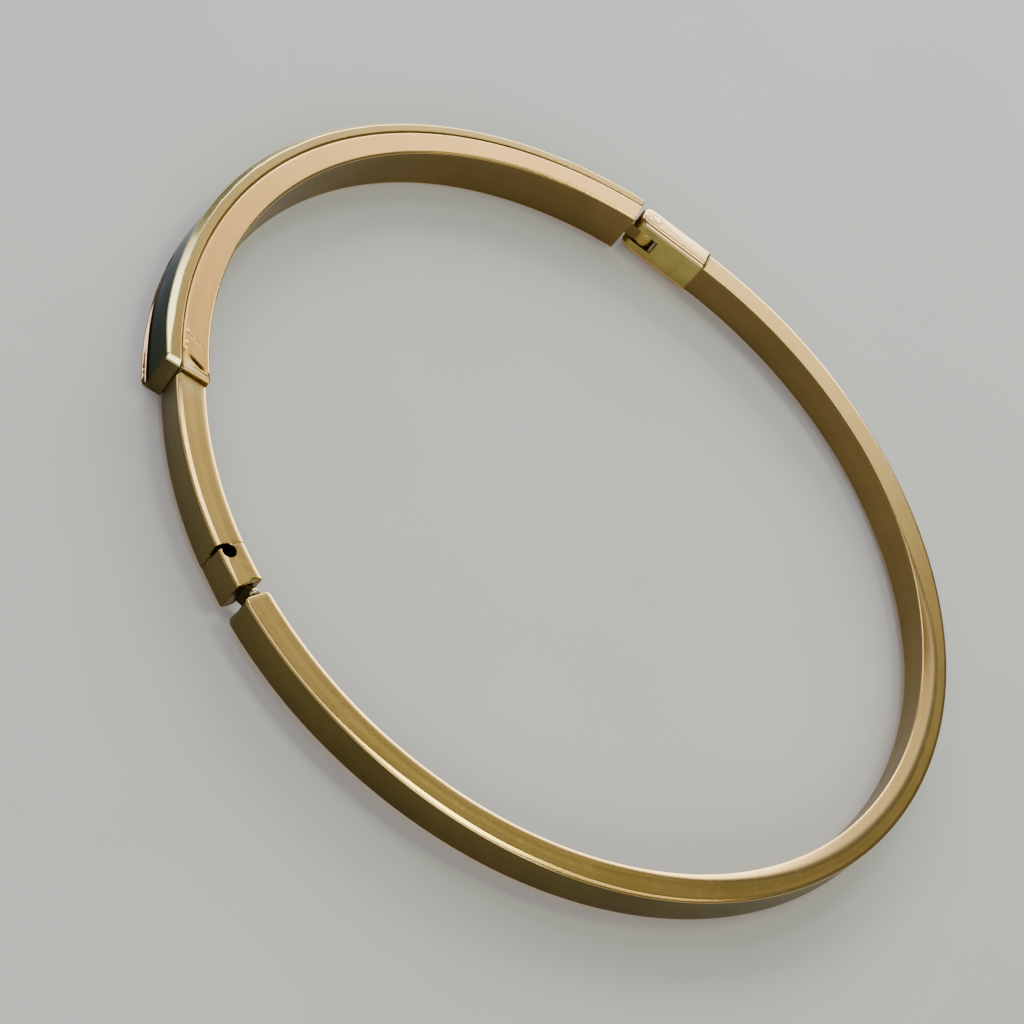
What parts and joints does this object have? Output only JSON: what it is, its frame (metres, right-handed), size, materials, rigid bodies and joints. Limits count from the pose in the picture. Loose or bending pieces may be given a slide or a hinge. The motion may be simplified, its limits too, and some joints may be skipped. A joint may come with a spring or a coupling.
{
  "type": "hinged bangle",
  "caption": "Slim round bangle in gold-tone metal with a raised two-layer front arch, a pin hinge and a tongue clasp; it opens to go round a wrist.",
  "frame": {"origin": "centre of the plain ring, on the plane that the bangle lies on", "axes": "+Z along the ring's axis, up from the surface; the front arch faces -Y, the clasp lies towards +X and the hinge towards -X"},
  "size_m": [0.0632, 0.0652, 0.0037],
  "materials": {
    "satin_gold": "satin, finely brushed along the band, with polished bevels and light wear",
    "polished_gold": "polished outer face and bevel, satin edges",
    "pale_gold": "smooth, worn bright"
  },
  "bodies": {
    "rear_half": {"rear_band": "satin_gold", "clasp_tongue": "pale_gold", "hinge_block": "pale_gold", "hinge_pin": "pale_gold"},
    "front_half": {"front_band": "satin_gold", "front_cover": "polished_gold", "clasp_box": "satin_gold"}
  },
  "joints": [
    {"name": "hinge_swing", "type": "hinge", "parent": "rear_half", "child": "front_half", "pos_m": [-0.02542, -0.01767, 0.00185], "axis": [0, 0, -1], "range_deg": [-0.75, 60]}
  ]
}
